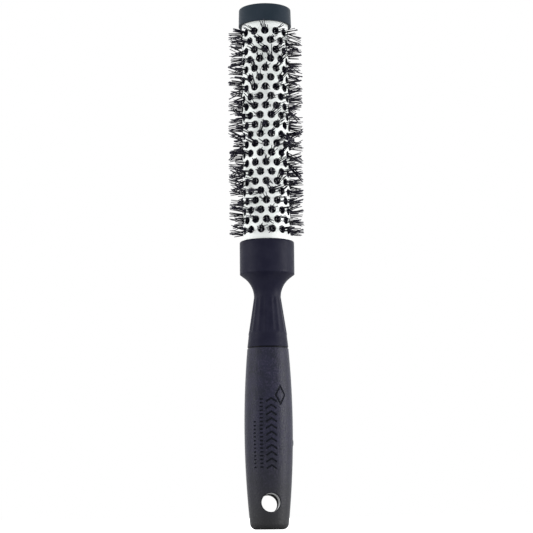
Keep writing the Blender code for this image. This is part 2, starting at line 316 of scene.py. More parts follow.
class Look:
    """A Principled material and short ways to add nodes to it."""

    def __init__(self, name, colour, roughness, specular=0.5, metallic=0.0):
        self.material = bpy.data.materials.new(name)
        self.material.use_nodes = True
        self.tree = self.material.node_tree
        self.shader = self.tree.nodes["Principled BSDF"]
        self.shader.inputs["Base Color"].default_value = (*colour, 1.0)
        self.shader.inputs["Roughness"].default_value = roughness
        self.shader.inputs["Specular IOR Level"].default_value = specular
        self.shader.inputs["Metallic"].default_value = metallic
        self.coords = self.tree.nodes.new("ShaderNodeTexCoord").outputs["Object"]

    def node(self, kind, **settings):
        made = self.tree.nodes.new(kind)
        for name, value in settings.items():
            setattr(made, name, value)
        return made

    def link(self, source, target):
        self.tree.links.new(source, target)

    def noise(self, size, detail=3.0, stretch=(1.0, 1.0, 1.0)):
        """Noise whose features are about size metres across."""
        texture = self.node("ShaderNodeTexNoise")
        mapping = self.node("ShaderNodeMapping")
        mapping.inputs["Scale"].default_value = stretch
        self.link(self.coords, mapping.inputs["Vector"])
        self.link(mapping.outputs["Vector"], texture.inputs["Vector"])
        texture.inputs["Scale"].default_value = 1.0 / size
        texture.inputs["Detail"].default_value = detail
        return texture.outputs["Fac"]

    def cells(self, size):
        """Distance to the nearest point of a pattern of cells about size metres across."""
        texture = self.node("ShaderNodeTexVoronoi")
        texture.inputs["Scale"].default_value = 1.0 / size
        self.link(self.coords, texture.inputs["Vector"])
        return texture.outputs["Distance"]

    def height_span(self, none, full):
        """From 0 at the height none to 1 at the height full."""
        split = self.node("ShaderNodeSeparateXYZ")
        self.link(self.coords, split.inputs["Vector"])
        return self.span(split.outputs["Z"], none, full)

    def mark(self):
        return self.node("ShaderNodeAttribute", attribute_name="mark").outputs["Fac"]

    def span(self, value, low, high, to_low=0.0, to_high=1.0):
        mapped = self.node("ShaderNodeMapRange")
        mapped.inputs["From Min"].default_value = low
        mapped.inputs["From Max"].default_value = high
        mapped.inputs["To Min"].default_value = to_low
        mapped.inputs["To Max"].default_value = to_high
        self.link(value, mapped.inputs["Value"])
        return mapped.outputs["Result"]

    def times(self, first, second):
        product = self.node("ShaderNodeMath", operation="MULTIPLY")
        self.link(first, product.inputs[0])
        self.link(second, product.inputs[1])
        return product.outputs["Value"]

    def blend(self, share, first, second):
        """Mix two colours, each a tuple or an output, by a 0 to 1 output."""
        mix = self.node("ShaderNodeMix", data_type="RGBA")
        self.link(share, mix.inputs["Factor"])
        for colour, socket in ((first, mix.inputs["A"]), (second, mix.inputs["B"])):
            if isinstance(colour, tuple):
                socket.default_value = (*colour, 1.0)
            else:
                self.link(colour, socket)
        return mix.outputs["Result"]

    def colour(self, value):
        self.link(value, self.shader.inputs["Base Color"])

    def roughness(self, value):
        self.link(value, self.shader.inputs["Roughness"])

    def bump(self, height, depth):
        """Add relief of about depth metres; later calls lie on top of earlier ones."""
        relief = self.node("ShaderNodeBump")
        relief.inputs["Distance"].default_value = depth
        self.link(height, relief.inputs["Height"])
        normal = self.shader.inputs["Normal"]
        if normal.is_linked:
            self.link(normal.links[0].from_socket, relief.inputs["Normal"])
        self.link(relief.outputs["Normal"], normal)


def ceramic_look():
    """Pale grey-green fired coating, thin at the punched edges."""
    look = Look("ceramic_coating", (0.85, 0.88, 0.85), 0.34, specular=0.32)
    cloud = look.span(look.noise(9.0 * MM), 0.35, 0.65)
    base = look.blend(cloud, (0.83, 0.87, 0.83), (0.88, 0.90, 0.88))
    speck = look.span(look.noise(0.35 * MM, 1.0), 0.66, 0.74)
    base = look.blend(look.times(speck, cloud), base, (0.62, 0.64, 0.62))
    wear = look.times(look.mark(), look.span(look.noise(0.8 * MM), 0.45, 0.60))
    look.colour(look.blend(wear, base, (0.55, 0.56, 0.56)))
    look.roughness(look.span(look.noise(2.2 * MM), 0.3, 0.7, 0.28, 0.42))
    look.bump(look.noise(1.1 * MM), 0.02 * MM)
    look.bump(look.noise(0.18 * MM), 0.004 * MM)
    return look.material


def tube_inside_painted_shade_look():
    """Drawn aluminium for the inside of the tube and the deep part of its holes, painted nearly black
    as painted shade.
    """
    look = Look("aluminium_painted_shade", (0.10, 0.10, 0.105), 0.45, metallic=0.6)
    drawn = look.noise(0.5 * MM, 3.0, (1.0, 1.0, 0.02))
    # Painted shade: both greys are kept dark for the shade inside the tube; the streaks are the drawn
    # metal.
    look.colour(look.blend(look.span(drawn, 0.3, 0.7), (0.07, 0.07, 0.075), (0.13, 0.13, 0.135)))
    look.roughness(look.span(drawn, 0.3, 0.7, 0.38, 0.55))
    look.bump(drawn, 0.01 * MM)
    return look.material


def nylon_look():
    """Black nylon filament, painted a little paler at the tips as painted light, for light showing
    through their thin ends.
    """
    look = Look("black_nylon", (0.003, 0.003, 0.006), 0.35, specular=0.10)
    base = look.blend(look.span(look.noise(1.5 * MM), 0.35, 0.65),
                      (0.002, 0.002, 0.006), (0.007, 0.006, 0.016))
    # Painted light: the tips are painted a paler lilac grey for light showing through them.
    look.colour(look.blend(look.span(look.mark(), 0.7, 1.0), base, (0.030, 0.027, 0.045)))
    look.roughness(look.span(look.mark(), 0.7, 1.0, 0.32, 0.50))
    look.bump(look.noise(0.12 * MM), 0.006 * MM)
    return look.material


def wire_look():
    look = Look("spring_steel", (0.35, 0.35, 0.36), 0.35, metallic=1.0)
    drawn = look.noise(0.4 * MM, 3.0, (1.0, 1.0, 0.05))
    look.colour(look.blend(drawn, (0.28, 0.28, 0.29), (0.42, 0.42, 0.43)))
    look.roughness(look.span(drawn, 0.3, 0.7, 0.25, 0.45))
    return look.material


def moulded_look(name, dark, light, roughness, spark):
    """Moulded plastic: spark-eroded mould texture and faint flow clouds, painted nearly black as
    painted shade where marked.
    """
    look = Look(name, dark, roughness, specular=0.10)
    cloud = look.span(look.noise(6.0 * MM), 0.35, 0.65)
    # Painted shade: marked points, the seam groove over the grip, are painted nearly black.
    look.colour(look.blend(look.mark(), look.blend(cloud, dark, light), (0.001, 0.001, 0.002)))
    look.roughness(look.span(look.noise(1.2 * MM), 0.3, 0.7, roughness - 0.06, roughness + 0.06))
    look.bump(look.noise(0.22 * MM, 2.0), spark)
    look.bump(look.noise(2.5 * MM), 0.015 * MM)
    return look.material


def grip_look():
    """Rubber with a sandy grain; the pressed marks and the hang hole's rounded rim are matt and
    painted nearly black as painted shade, and the sleeve is painted lighter and greyer towards the
    butt as painted light.
    """
    look = Look("grip_rubber", (0.007, 0.007, 0.020), 0.42, specular=0.22)
    cloud = look.span(look.noise(5.0 * MM), 0.35, 0.65)
    base = look.blend(cloud, (0.004, 0.005, 0.014), (0.009, 0.009, 0.025))
    sand = look.span(look.noise(0.8 * MM, 4.0), 0.49, 0.68)
    base = look.blend(sand, base, (0.022, 0.019, 0.041))
    # Painted light: the sleeve is painted lighter and greyer towards the butt.
    base = look.blend(look.height_span(40.0 * MM, 2.0 * MM), base, (0.019, 0.019, 0.020))
    # Painted shade: the pressed marks and the hang hole's rounded rim are painted nearly black.
    look.colour(look.blend(look.mark(), base, (0.001, 0.002, 0.005)))
    grain = look.span(look.noise(0.8 * MM, 4.0), 0.35, 0.65, 0.40, 0.54)
    look.roughness(look.blend(look.mark(), grain, (0.7, 0.7, 0.7)))
    look.bump(look.noise(0.9 * MM, 4.0), 0.14 * MM)
    look.bump(look.cells(0.40 * MM), 0.04 * MM)
    return look.material


def bore_look(name, colour, roughness, specular):
    """The wall of the hang hole; used as a lighter painted-light copy and a nearly black painted-shade
    copy.
    """
    look = Look(name, colour, roughness, specular=specular)
    flow = look.noise(1.2 * MM, 2.0, (1.0, 0.2, 1.0))
    dark = tuple(0.8 * part for part in colour)
    light = tuple(1.2 * part for part in colour)
    look.colour(look.blend(flow, dark, light))
    look.roughness(look.span(flow, 0.3, 0.7, 0.9 * roughness, min(1.0, 1.1 * roughness)))
    look.bump(look.noise(0.4 * MM, 2.0), 0.01 * MM)
    return look.material


# ------------------------------------------------------------------- barrel

def on_cylinder(shape, radius, angle, height, mark=0.0):
    return shape.point(radius * cos(angle), radius * sin(angle), height, mark)


def hole_loop(shape, radius, column, middle_z, hole_radius, mark=0.0):
    """A ring of points round a hole. It starts below the hole's left side."""
    count = 2 * (2 * STEPS_ACROSS_COLUMN + STEPS_UP_RING)
    loop = []
    for i in range(count):
        turn = -pi / 2.0 + 2.0 * pi * (i - STEPS_ACROSS_COLUMN) / count
        angle = PATTERN_TURN + column * COLUMN_ANGLE + hole_radius * cos(turn) / TUBE_RADIUS
        height = middle_z + hole_radius * sin(turn)
        loop.append(on_cylinder(shape, radius, angle, height, mark))
    return loop


def tube_lines(shape, radius, heights):
    """Whole rings of points on the tube at the given heights."""
    count = COLUMN_COUNT * STEPS_ACROSS_COLUMN
    turns = [PATTERN_TURN + COLUMN_ANGLE * i / STEPS_ACROSS_COLUMN for i in range(count)]
    return [[on_cylinder(shape, radius, turn, height) for turn in turns] for height in heights]


def cell_outlines(shape, radius, lines):
    """The outline of the cell round each hole: one ring high, two columns wide."""
    count = COLUMN_COUNT * STEPS_ACROSS_COLUMN
    outlines = {}
    for ring in range(RING_COUNT):
        low, high = lines[ring], lines[ring + 1]
        first_column = (ring + 1) % 2
        low_z = LOWEST_RING_Z + (ring - 0.5) * RING_PITCH
        sides = {}
        for column in range(first_column + 1, COLUMN_COUNT + first_column, 2):
            angle = PATTERN_TURN + column * COLUMN_ANGLE
            rises = [RING_PITCH * i / STEPS_UP_RING for i in range(1, STEPS_UP_RING)]
            sides[column % COLUMN_COUNT] = [on_cylinder(shape, radius, angle, low_z + rise)
                                            for rise in rises]
        for column in range(first_column, COLUMN_COUNT, 2):
            left = (column - 1) * STEPS_ACROSS_COLUMN
            across = [(left + i) % count for i in range(2 * STEPS_ACROSS_COLUMN + 1)]
            outline = [low[i] for i in across]
            outline += sides[(column + 1) % COLUMN_COUNT]
            outline += [high[i] for i in reversed(across)]
            outline += reversed(sides[(column - 1) % COLUMN_COUNT])
            outlines[ring, column] = outline
    return outlines


def make_barrel():
    shape = Shape()
    line_heights = [LOWEST_RING_Z + (i - 0.5) * RING_PITCH for i in range(RING_COUNT + 1)]
    foot = straight((0, TUBE_BOTTOM_Z), (0, line_heights[0]), PLAIN_STEPS)
    foot_heights = [height for _, height in foot[:-1]]
    head = straight((0, line_heights[-1]), (0, TUBE_TOP_Z), PLAIN_STEPS)
    head_heights = [height for _, height in head]
    heights = [TUBE_BOTTOM_Z] + foot_heights + line_heights + head_heights
    first_line = 1 + len(foot_heights)
    plain = list(range(first_line)) + list(range(first_line + RING_COUNT, len(heights) - 1))
    outer_lines = tube_lines(shape, TUBE_RADIUS, heights)
    for line in plain:
        shape.bridge(outer_lines[line], outer_lines[line + 1], 0)
    inner_lines = tube_lines(shape, TUBE_BORE, heights)
    for line in plain:
        shape.bridge(inner_lines[line + 1], inner_lines[line], 1)
    outer = cell_outlines(shape, TUBE_RADIUS, outer_lines[first_line:])
    inner = cell_outlines(shape, TUBE_BORE, inner_lines[first_line:])
    edge = HOLE_EDGE_RADIUS
    for (ring, column), outline in outer.items():
        z = LOWEST_RING_Z + ring * RING_PITCH
        # Each step is (radius on the tube, radius of the hole, wear), from the outside in.
        steps = [
            (TUBE_RADIUS, HOLE_RADIUS + 2.2 * edge, 0.0),
            (TUBE_RADIUS, HOLE_RADIUS + edge, 0.2),
            (TUBE_RADIUS - 0.13 * edge, HOLE_RADIUS + 0.5 * edge, 0.8),
            (TUBE_RADIUS - 0.5 * edge, HOLE_RADIUS + 0.13 * edge, 1.0),
            (TUBE_RADIUS - edge, HOLE_RADIUS, 0.8),
            (TUBE_BORE + 0.6 * edge, HOLE_RADIUS, 0.3),
            (TUBE_BORE, HOLE_RADIUS + 0.6 * edge, 0.3),
        ]
        loops = [outline] + [hole_loop(shape, r, column, z, hole, mark)
                             for r, hole, mark in steps]
        # The innermost steps of each hole take the tube inside's painted-shade material.
        coated = len(steps) - 1
        for i in range(1, len(loops)):
            shape.bridge(loops[i - 1], loops[i], 0 if i < coated else 1)
        shape.bridge(loops[-1], inner[ring, column], 1)
    shape.bridge(inner_lines[0], outer_lines[0], 1)
    shape.bridge(outer_lines[-1], inner_lines[-1], 1)
    # The second material is the inside of the tube, painted dark as painted shade.
    piece = shape.build("barrel_shell", [ceramic_look(), tube_inside_painted_shade_look()])
    hand_over(piece, "ceramic_coating", "barrel_tube")


# ----------------------------------------------------------------- bristles

def sweep(shape, path, radii, marks, sides, slot):
    """A round rod along a path of Vectors, with flat ends."""
    loops = []
    side = Vector((0.0, 0.0, 1.0))
    for i, middle in enumerate(path):
        ahead = (path[min(i + 1, len(path) - 1)] - path[max(i - 1, 0)]).normalized()
        side = side - ahead * side.dot(ahead)
        if side.length < 0.001:
            side = ahead.orthogonal()
        side.normalize()
        other = ahead.cross(side)
        loop = []
        for j in range(sides):
            turn = 2.0 * pi * j / sides
            spot = middle + (side * cos(turn) + other * sin(turn)) * radii[i]
            loop.append(shape.point(*spot, marks[i]))
        loops.append(loop)
    for i in range(1, len(loops)):
        shape.bridge(loops[i - 1], loops[i], slot)
    shape.face(reversed(loops[0]), slot)
    shape.face(loops[-1], slot)


def inside_hole(side, up, room):
    """Pull a point of the hole's plane in until it's within a circle of radius room."""
    distance = hypot(side, up)
    if distance <= room:
        return side, up
    return side * room / distance, up * room / distance


def strand(rng, start, mouth, lean, reach, shares):
    """Points along a bristle from the radius start to the radius reach, pointing along +X.

    mouth and lean are (sideways, upward) pairs: where the strand starts in
    its hole, and its slope there. It bends a little on its way out. The brush
    is trimmed to a cylinder, so a strand that leans sideways is cut shorter.
    """
    bend = (rng.gauss(0.0, BEND_SCATTER), rng.gauss(0.0, BEND_SCATTER))
    tip_sideways = mouth[0] + (lean[0] + bend[0]) * (reach - start)
    length = sqrt(reach ** 2 - tip_sideways ** 2) - start
    points = []
    for share in shares:
        out = length * share
        drift = out * share
        points.append(Vector((start + out,
                              mouth[0] + lean[0] * out + bend[0] * drift,
                              mouth[1] + lean[1] * out + bend[1] * drift)))
    return points


def add_fold(shape, rng, height, along, tuft_lean, long):
    """One filament: two bristles joined by the loop that hangs on the wire."""
    free = HOLE_RADIUS - FILAMENT_RADIUS
    if long:
        shares = marks = (0.0, 0.28, 0.55, 0.80, 0.98, 1.0)
        start, spread, room = TUBE_RADIUS, LONG_SPREAD, MOUTH_SHARE * free
    else:
        shares, marks = (0.0, 0.9, 1.0), (0.0, 0.1, 0.2)
        start, spread, room = TUBE_BORE - 0.2 * MM, SHORT_SPREAD, free
    halves = []
    for side in (-1.0, 1.0):
        sideways = side * abs(rng.gauss(0.0, spread))
        upward = along * PACKING + rng.gauss(0.0, ALONG_SCATTER)
        mouth = inside_hole(sideways, upward, room)
        lean = (tuft_lean[0] + FAN_ACROSS * mouth[0] + rng.gauss(0.0, SLOPE_SCATTER),
                tuft_lean[1] + FAN_ALONG * mouth[1] + rng.gauss(0.0, SLOPE_SCATTER))
        if long:
            reach = BRISTLE_REACH + min(TIP_LIMIT, rng.gauss(TIP_MEAN, TIP_SCATTER))
            if rng.random() < BROKEN_SHARE:
                reach -= rng.uniform(*BROKEN_LOSS)
        else:
            reach = TUBE_RADIUS + rng.uniform(-UNDERCOAT_SPAN, UNDERCOAT_SPAN)
        half = strand(rng, start, mouth, lean, reach, shares)
        half_width = rng.uniform(*LOOP_HALF_WIDTHS)
        half.insert(0, Vector((WIRE_CENTRE + 0.1 * MM, side * half_width, along)))
        halves.append(half)
    back = WIRE_CENTRE - WIRE_RADIUS - FILAMENT_RADIUS - rng.uniform(0.0, LOOP_SLACK)
    path = halves[0][::-1] + [Vector((back, 0.0, along))] + halves[1]
    for point in path:
        point.z += height
    half_marks = [0.0] + list(marks)
    half_radii = [FILAMENT_RADIUS] * len(half_marks)
    half_radii[-1] *= TIP_TAPER
    sweep(shape, path, half_radii[::-1] + [FILAMENT_RADIUS] + half_radii,
          half_marks[::-1] + [0.0] + half_marks, FILAMENT_SIDES, 0)


def make_row(column, nylon, steel):
    """One retaining wire with filaments folded over it at each hole of its column."""
    rng = random.Random(FIRST_SEED + column)
    shape = Shape()
    wire = [Vector((WIRE_CENTRE, 0.0, end_z)) for end_z in (WIRE_BOTTOM_Z, WIRE_TOP_Z)]
    sweep(shape, wire, [WIRE_RADIUS] * 2, [0.0] * 2, WIRE_SIDES, 1)
    folds = LONG_FOLDS + SHORT_FOLDS
    for ring in range((column + 1) % 2, RING_COUNT, 2):
        height = LOWEST_RING_Z + ring * RING_PITCH
        spread = UNRULY_LEAN if rng.random() < UNRULY_SHARE else TIDY_LEAN
        tuft_lean = (rng.gauss(0.0, spread), rng.gauss(0.0, spread))
        long_folds = LONG_FOLDS - 1 if rng.random() < THIN_TUFT_SHARE else LONG_FOLDS
        order = [True] * long_folds + [False] * (folds - long_folds)
        rng.shuffle(order)
        for i, long in enumerate(order):
            along = (i - (folds - 1) / 2.0) * 2.0 * FILAMENT_RADIUS
            add_fold(shape, rng, height, along, tuft_lean, long)
    turn = Matrix.Rotation(PATTERN_TURN + column * COLUMN_ANGLE, 4, "Z")
    shape.points = [tuple(turn @ Vector(p)) for p in shape.points]
    piece = shape.build(f"bristles_{column + 1:02d}", [nylon, steel])
    hand_over(piece, "black_nylon", f"bristle_row_{column + 1:02d}")


# ---------------------------------------------------------------------- cap

def make_cap():
    """The top and skirt over the end of the tube, and the plug inside it."""
    profile = [(0.0, CAP_TOP_Z), (4.0 * MM, CAP_TOP_Z), (8.0 * MM, CAP_TOP_Z)]
    profile += arc((CAP_TOP_RADIUS - CAP_TOP_EDGE, CAP_TOP_Z - CAP_TOP_EDGE), CAP_TOP_EDGE,
                   90.0, 2.0, 6)
    edge_z = CAP_BOTTOM_Z + CAP_RIM_EDGE
    profile += straight(profile[-1], (CAP_RIM_RADIUS, edge_z), 8)
    profile += arc((CAP_RIM_RADIUS - CAP_RIM_EDGE, edge_z), CAP_RIM_EDGE, -10.0, -90.0, 3)
    profile += arc((SOCKET_RADIUS + CAP_RIM_EDGE, edge_z), CAP_RIM_EDGE, -90.0, -170.0, 3)
    profile += [(SOCKET_RADIUS, CAP_SEAT_Z), (PLUG_RADIUS, CAP_SEAT_Z),
                (PLUG_RADIUS, PLUG_STEP_Z), (PLUG_RELIEF_RADIUS, PLUG_STEP_Z),
                (PLUG_RELIEF_RADIUS, PLUG_END_Z), (PLUG_BORE, PLUG_END_Z),
                (PLUG_BORE, CAP_SEAT_Z), (0.0, CAP_SEAT_Z)]
    shape = Shape()
    lathe(shape, profile[::-1], CAP_SIDES, closed=False)
    look = moulded_look("cap_plastic", (0.013, 0.022, 0.032), (0.017, 0.026, 0.037),
                        roughness=0.50, spark=0.012 * MM)
    hand_over(shape.build("cap_shell", [look]), "cap_plastic", "end_cap")


# --------------------------------------------------------------------- neck

def flute_depth(angle, height, radius):
    """How deep the neck is pressed in: round-ended grooves that widen downwards."""
    pitch = 2.0 * pi / FLUTE_COUNT
    across = ((angle / pitch + 0.5) % 1.0 - 0.5) * pitch * radius
    half_width = FLUTE_HALF_SHARE * pitch * radius
    low = FLUTE_BOTTOM_Z + FLUTE_FOOT_GAP + half_width
    beyond = max(0.0, low - height, (height - FLUTE_TOP_Z) * FLUTE_TAPER)
    share = hypot(across, beyond) / half_width
    if share >= 1.0:
        return 0.0
    return FLUTE_DEPTH * (1.0 - share * share) ** FLUTE_ROUNDNESS


def make_neck():
    """Collar, waist, fluted cone and plain band, with the sockets inside them."""
    outside = [(SOCKET_RADIUS, NECK_TOP_Z - SOCKET_MOUTH_EDGE),
               (SOCKET_RADIUS + SOCKET_MOUTH_EDGE, NECK_TOP_Z)]
    outside += arc((COLLAR_RADIUS - COLLAR_TOP_EDGE, NECK_TOP_Z - COLLAR_TOP_EDGE),
                   COLLAR_TOP_EDGE, 90.0, 0.0, 6)
    foot_z = COLLAR_BOTTOM_Z + COLLAR_FOOT_EDGE
    outside += straight(outside[-1], (COLLAR_RADIUS, foot_z), 10)
    outside += arc((COLLAR_RADIUS - COLLAR_FOOT_EDGE, foot_z), COLLAR_FOOT_EDGE, -12.0, -48.0, 3)
    centre = (WAIST_RADIUS + WAIST_CURVE_RADIUS, WAIST_Z)
    waist = arc(centre, WAIST_CURVE_RADIUS, WAIST_CURVE_START, 180.0, 24)
    outside += straight(outside[-1], waist[0], 6) + waist[1:]
    outside += straight(waist[-1], (FLUTE_END_RADIUS, FLUTE_BOTTOM_Z), 60)
    outside += straight((BAND_TOP_RADIUS, FLUTE_BOTTOM_Z - BAND_STEP),
                        (NECK_BOTTOM_RADIUS, NECK_BOTTOM_Z + BAND_FOOT_EDGE), 10)
    outside += [(NECK_BOTTOM_RADIUS - BAND_FOOT_EDGE, NECK_BOTTOM_Z),
                (SEAM_LIP_RADIUS, NECK_BOTTOM_Z), (SEAM_LIP_RADIUS, GRIP_TOP_Z + SEAM_GAP)]
    inside = [(CORE_HOLE_RADIUS, GRIP_TOP_Z + SEAM_GAP), (CORE_HOLE_RADIUS, CORE_HOLE_TOP_Z),
              (CORE_WAIST_RADIUS, CORE_WAIST_BOTTOM_Z), (CORE_WAIST_RADIUS, CORE_WAIST_TOP_Z),
              (TUBE_BORE, CORE_FLARE_TOP_Z), (TUBE_BORE, SOCKET_SEAT_Z),
              (SOCKET_RADIUS, SOCKET_SEAT_Z)]
    shape = Shape()
    loops = lathe(shape, (outside + inside)[::-1], FLUTE_COUNT * FLUTE_SIDES, closed=True)
    # The seam groove over the grip is marked for painted shade, and then the flutes are pressed in.
    for loop in loops:
        for index in loop:
            x, y, z = shape.points[index]
            if z < NECK_BOTTOM_Z + 0.02 * MM and hypot(x, y) < SEAM_LIP_RADIUS + 0.1 * MM:
                shape.marks[index] = 1.0
    for loop in loops[len(inside):]:
        for index in loop:
            x, y, z = shape.points[index]
            radius, angle = hypot(x, y), atan2(y, x)
            if FLUTE_BOTTOM_Z < z < WAIST_Z + 2.0 * MM:
                shrink = 1.0 - flute_depth(angle, z, radius) / radius
                shape.points[index] = (x * shrink, y * shrink, z)
    look = moulded_look("neck_plastic", (0.006, 0.006, 0.017), (0.010, 0.010, 0.022),
                        roughness=0.50, spark=0.010 * MM)
    hand_over(shape.build("neck_shell", [look]), "neck_plastic", "neck_collar")


# --------------------------------------------------------------------- grip

def grip_radius(height):
    """The sleeve's radius: a long shallow curve with rounded ends."""
    radius = GRIP_RADIUS - (height - GRIP_FULLEST_Z) ** 2 / GRIP_CURVE
    below = BUTT_EDGE_RADIUS - height
    if below > 0.0:
        radius -= BUTT_EDGE_RADIUS - sqrt(max(0.0, BUTT_EDGE_RADIUS ** 2 - below ** 2))
    above = height - (GRIP_TOP_Z - GRIP_TOP_EDGE)
    if above > 0.0:
        radius -= GRIP_TOP_EDGE - sqrt(max(0.0, GRIP_TOP_EDGE ** 2 - above ** 2))
    return radius


def pip_height(angle, height):
    """The small raised mark that the mould leaves on the grip's side."""
    turn = (angle - PIP_ANGLE + pi) % (2.0 * pi) - pi
    away = hypot(turn * GRIP_RADIUS / PIP_HALF_SIZE[0], (height - PIP_Z) / PIP_HALF_SIZE[1])
    return PIP_HEIGHT * (1.0 - away * away) if away < 1.0 else 0.0


def segment_distance(point, start, end):
    """How far a point of the unrolled sleeve is from a straight stroke."""
    run = (end[0] - start[0], end[1] - start[1])
    offset = (point[0] - start[0], point[1] - start[1])
    share = (offset[0] * run[0] + offset[1] * run[1]) / (run[0] ** 2 + run[1] ** 2)
    share = min(1.0, max(0.0, share))
    return hypot(offset[0] - share * run[0], offset[1] - share * run[1])


def pressed_marks():
    """The strokes pressed into the front of the grip, as (start, end, half width).

    They are plain grip marks: a column of chevrons, two columns of dots and a
    diamond. Each point is (distance round the sleeve from its front, height).
    """
    strokes = []
    for i in range(CHEVRON_COUNT):
        tip = (CHEVRON_LOW_TIP[0], CHEVRON_LOW_TIP[1] + i * CHEVRON_PITCH)
        for side in (-1.0, 1.0):
            end = (tip[0] + side * CHEVRON_ARM[0], tip[1] - CHEVRON_ARM[1])
            strokes.append((tip, end, CHEVRON_HALF_WIDTH))
    for count, across, half_length, half_width in DOT_COLUMNS:
        for i in range(count):
            height = DOT_LOW_Z + i * DOT_PITCH
            ends = [(across + side * half_length, height) for side in (-1.0, 1.0)]
            strokes.append((*ends, half_width))
    corners = [(DIAMOND_MIDDLE[0] + across * DIAMOND_HALF_SIZE[0],
                DIAMOND_MIDDLE[1] + up * DIAMOND_HALF_SIZE[1])
               for across, up in ((0.0, 1.0), (1.0, 0.0), (0.0, -1.0), (-1.0, 0.0))]
    for i in range(4):
        strokes.append((corners[i - 1], corners[i], DIAMOND_HALF_WIDTH))
    return strokes


def pressed(strokes, angle, height):
    """From 0 to 1, how far a point of the grip's front is inside a stroke."""
    around = (angle - FRONT) * GRIP_RADIUS
    deepest = 0.0
    for start, end, half_width in strokes:
        if abs(height - start[1]) > MARK_REACH or abs(around - start[0]) > MARK_REACH:
            continue
        inside = half_width - segment_distance((around, height), start, end)
        share = min(1.0, max(0.0, inside / MARK_SLOPE + 0.5))
        deepest = max(deepest, share * share * (3.0 - 2.0 * share))
    return deepest


def spaced(start, end, step):
    """Values from start up to, but not including, end, about step apart."""
    count = max(1, round((end - start) / step))
    return [start + (end - start) * i / count for i in range(count)]


def grip_angles():
    """Where the net's columns are round the sleeve."""
    angles = []
    for front in (FRONT, BACK):
        angles += spaced(front - FINE_TURN, front - WINDOW_TURN, FINE_TURN_STEP)
        angles += spaced(front - WINDOW_TURN, front + WINDOW_TURN, FINE_TURN_STEP)
        angles += spaced(front + WINDOW_TURN, front + FINE_TURN, FINE_TURN_STEP)
        angles += spaced(front + FINE_TURN, front + pi - FINE_TURN, PLAIN_TURN_STEP)
    return angles


def grip_heights():
    """Where the net's rows are up the sleeve."""
    heights = [BUTT_EDGE_RADIUS * (1.0 - cos(radians(turn))) for turn in range(0, 96, 12)]
    heights += spaced(BUTT_EDGE_RADIUS, WINDOW_LOW_Z, PLAIN_ROW_STEP)
    heights += spaced(WINDOW_LOW_Z, WINDOW_HIGH_Z, WINDOW_ROW_STEP)
    heights += spaced(WINDOW_HIGH_Z, FINE_LOW_Z, PLAIN_ROW_STEP)
    heights += spaced(FINE_LOW_Z, FINE_HIGH_Z, FINE_ROW_STEP)
    heights += spaced(FINE_HIGH_Z, GRIP_TOP_Z - GRIP_TOP_EDGE, PLAIN_ROW_STEP)
    heights += [GRIP_TOP_Z - GRIP_TOP_EDGE * (1.0 - sin(radians(turn)))
                for turn in (0, 22, 45, 68, 90)]
    return heights


def nearest(values, target):
    """The index of the value nearest to the target."""
    return min(range(len(values)), key=lambda i: abs(values[i] - target))


def make_grip():
    """The sleeve as a net of columns and rows, with a window cut round the hang hole."""
    shape = Shape()
    angles, heights = grip_angles(), grip_heights()
    strokes = pressed_marks()
    rows = []
    for height in heights:
        row = []
        marked = MARK_LOW_Z < height < MARK_HIGH_Z
        for angle in angles:
            depth = 0.0
            if marked and abs(angle - FRONT) < FINE_TURN:
                depth = pressed(strokes, angle, height)
            radius = grip_radius(height) - MARK_DEPTH * depth + pip_height(angle, height)
            # A pressed mark's depth is also its painted-shade mark.
            row.append(on_cylinder(shape, radius, angle, height, depth))
        rows.append(row)

    low_row, high_row = nearest(heights, WINDOW_LOW_Z), nearest(heights, WINDOW_HIGH_Z)
    windows = []
    for front, hole_z in ((FRONT, HANG_HOLE_FRONT_Z), (BACK, HANG_HOLE_BACK_Z)):
        left, right = nearest(angles, front - WINDOW_TURN), nearest(angles, front + WINDOW_TURN)
        windows.append((left, right, front, hole_z))
    for row in range(1, len(rows)):
        low, high = rows[row - 1], rows[row]
        for column in range(len(angles)):
            inside = low_row < row <= high_row and any(
                left < column <= right for left, right, _, _ in windows)
            if not inside:
                shape.face((low[column - 1], low[column], high[column], high[column - 1]))
    walls = [cut_window(shape, rows, low_row, high_row, *window) for window in windows]
    join_walls(shape, walls[0], walls[1])

    # Close the butt, and line the pocket that holds the core.
    middle = shape.point(0.0, 0.0, GRIP_BOTTOM_Z)
    for column in range(len(angles)):
        shape.face((middle, rows[0][column], rows[0][column - 1]))
    pocket = []
    for radius, height in ((CORE_HOLE_RADIUS, GRIP_TOP_Z), (CORE_HOLE_RADIUS, POCKET_BOTTOM_Z)):
        pocket.append([on_cylinder(shape, radius, angle, height) for angle in angles])
    shape.bridge(rows[-1], pocket[0])
    shape.bridge(pocket[0], pocket[1])
    floor = shape.point(0.0, 0.0, POCKET_BOTTOM_Z)
    for column in range(len(angles)):
        shape.face((pocket[1][column - 1], pocket[1][column], floor))
    # The bore is painted in two copies: lighter at its front as painted light, nearly black deeper in
    # as painted shade.
    painted_lit_bore = bore_look("bore_painted_lit", (0.03, 0.03, 0.032), 0.32, 0.55)
    painted_shade_bore = bore_look("bore_painted_shade", (0.002, 0.002, 0.003), 0.90, 0.05)
    piece = shape.build("grip_shell", [grip_look(), painted_lit_bore, painted_shade_bore])
    hand_over(piece, "grip_rubber", "grip_sleeve")


